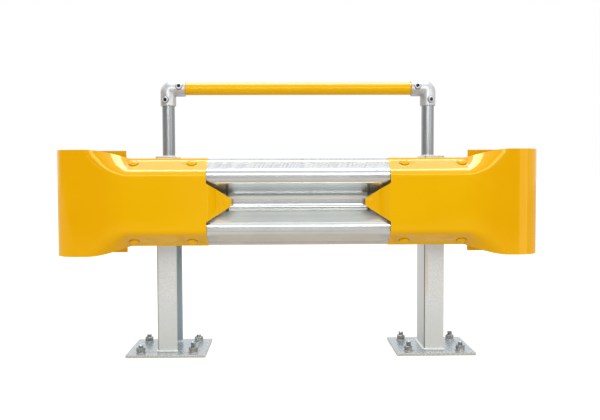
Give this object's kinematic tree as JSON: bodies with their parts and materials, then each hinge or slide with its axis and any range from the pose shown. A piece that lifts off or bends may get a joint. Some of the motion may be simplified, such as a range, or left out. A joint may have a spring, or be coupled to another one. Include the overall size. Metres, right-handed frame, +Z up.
{
  "type": "guard rail",
  "caption": "Industrial guard rail bay: galvanised corrugated beam on bolted-down channel posts, with yellow wrap-around ends and a yellow tubular handrail",
  "frame": {"origin": "on the floor under the middle of the overall box: midway between the outer faces of the two end caps, and midway between the front of the caps and the back edges of the base plates", "axes": "+X right along the beam as seen from the traffic side, +Y away from the traffic side, +Z up"},
  "size_m": [1.712, 0.4964, 1.049],
  "materials": {
    "galvanised_plate": "satin",
    "galvanised_post": "satin",
    "galvanised_beam": "satin",
    "galvanised_tube": "satin",
    "cast_elbow": "satin",
    "weld": "matte",
    "zinc_fasteners": "satin",
    "black_screws": "satin",
    "yellow_paint": "gloss"
  },
  "bodies": {
    "root": {"left_base_plate": "galvanised_plate", "right_base_plate": "galvanised_plate", "left_post": "galvanised_post", "right_post": "galvanised_post", "left_foot_weld": "weld", "right_foot_weld": "weld", "left_post_cap": "galvanised_plate", "right_post_cap": "galvanised_plate", "left_spacer": "galvanised_post", "right_spacer": "galvanised_post", "left_spacer_bolts": "zinc_fasteners", "right_spacer_bolts": "zinc_fasteners", "left_spacer_nuts": "zinc_fasteners", "right_spacer_nuts": "zinc_fasteners", "beam": "galvanised_beam", "left_beam_bolt": "zinc_fasteners", "right_beam_bolt": "zinc_fasteners", "left_beam_nut": "zinc_fasteners", "right_beam_nut": "zinc_fasteners", "left_end_cap": "yellow_paint", "right_end_cap": "yellow_paint", "left_cap_bolts": "yellow_paint", "right_cap_bolts": "yellow_paint", "left_cap_nuts": "zinc_fasteners", "right_cap_nuts": "zinc_fasteners", "left_tongue_bolt": "yellow_paint", "right_tongue_bolt": "yellow_paint", "left_tongue_nut": "zinc_fasteners", "right_tongue_nut": "zinc_fasteners", "left_upright": "galvanised_tube", "right_upright": "galvanised_tube", "left_upright_weld": "weld", "right_upright_weld": "weld", "left_elbow": "cast_elbow", "right_elbow": "cast_elbow", "left_set_screws": "black_screws", "right_set_screws": "black_screws", "handrail": "yellow_paint"}
  },
  "joints": []
}
